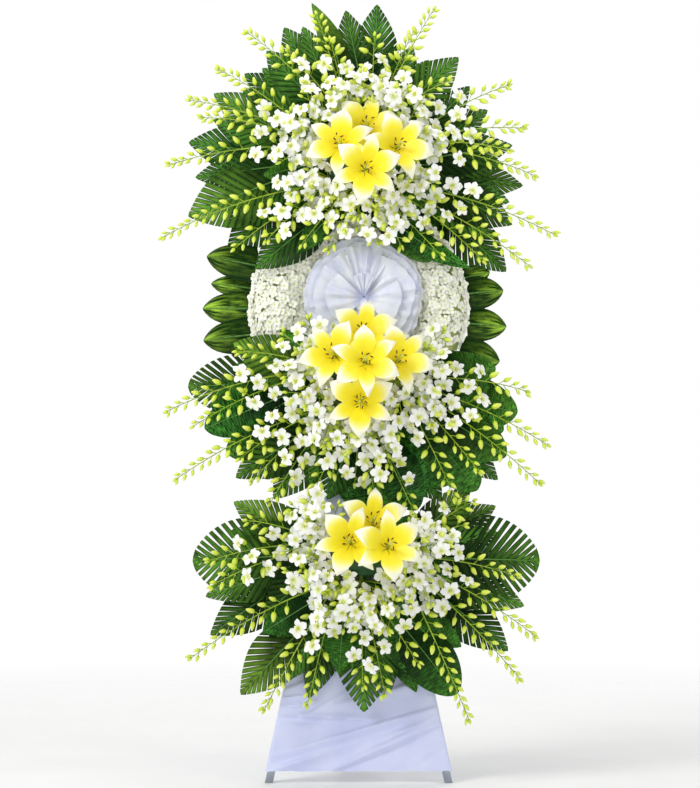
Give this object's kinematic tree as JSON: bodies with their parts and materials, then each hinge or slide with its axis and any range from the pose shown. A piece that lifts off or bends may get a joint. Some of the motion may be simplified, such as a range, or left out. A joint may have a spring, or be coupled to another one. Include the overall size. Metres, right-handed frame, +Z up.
{
  "type": "funeral wreath",
  "caption": "Tiered funeral wreath of palm leaves, white orchids and yellow lilies round a floret pad with a tulle rosette, on a cloth-wrapped steel easel.",
  "frame": {"origin": "on the floor, under the middle of the bounding box", "axes": "+Z up, front towards -Y, +X to the viewer's right"},
  "size_m": [1.0338, 0.6724, 1.9978],
  "materials": {
    "steel": "polished square tube",
    "foam": "wet floral foam, green",
    "board": "light foam board, matt",
    "tie": "green nylon cable tie",
    "cloth": "white satin with a pale lavender cast",
    "tulle": "stiff white tulle",
    "frond": "glossy green leaf",
    "orchid": "white petals, lime buds and stems",
    "floret": "white florets with green hearts",
    "lily": "yellow petals with cream edges"
  },
  "bodies": {
    "root": {"front_leg_left": "steel", "front_leg_right": "steel", "mast": "steel", "low_crossbar": "steel", "middle_crossbar_left": "steel", "middle_crossbar_right": "steel", "rear_leg": "steel", "rear_brace": "steel", "stand_cloth": "cloth", "tulle_rosette": "tulle", "floret_cushion": "floret", "pad_board": "board", "pad_leaves_left": "frond", "pad_leaves_right": "frond", "top_floral_brick": "foam", "top_brick_tie": "tie", "middle_floral_brick": "foam", "middle_brick_tie": "tie", "bottom_floral_brick": "foam", "bottom_brick_tie": "tie", "top_leaves_upper_left": "frond", "top_leaves_upper_right": "frond", "top_leaves_left": "frond", "top_leaves_right": "frond", "top_leaves_lower": "frond", "middle_leaves_left": "frond", "middle_leaves_lower_left": "frond", "middle_leaves_lower": "frond", "middle_leaves_right": "frond", "bottom_leaves_left": "frond", "bottom_leaves_lower_left": "frond", "bottom_leaves_lower_right": "frond", "bottom_leaves_right": "frond", "top_orchids_upper_left": "orchid", "top_orchids_upper_right": "orchid", "top_orchids_left": "orchid", "top_orchids_lower_left": "orchid", "top_orchids_lower": "orchid", "top_orchids_lower_right": "orchid", "top_orchids_right": "orchid", "middle_orchids_left": "orchid", "middle_orchids_lower_left": "orchid", "middle_orchids_lower": "orchid", "middle_orchids_right": "orchid", "bottom_orchids_left": "orchid", "bottom_orchids_lower_left": "orchid", "bottom_orchids_lower": "orchid", "bottom_orchids_right": "orchid", "top_lily_left": "lily", "top_lily_upper": "lily", "top_lily_right": "lily", "top_lily_lower": "lily", "middle_lily_upper": "lily", "middle_lily_left": "lily", "middle_lily_centre": "lily", "middle_lily_right": "lily", "middle_lily_lower": "lily", "bottom_lily_left": "lily", "bottom_lily_upper": "lily", "bottom_lily_right": "lily"}
  },
  "joints": []
}
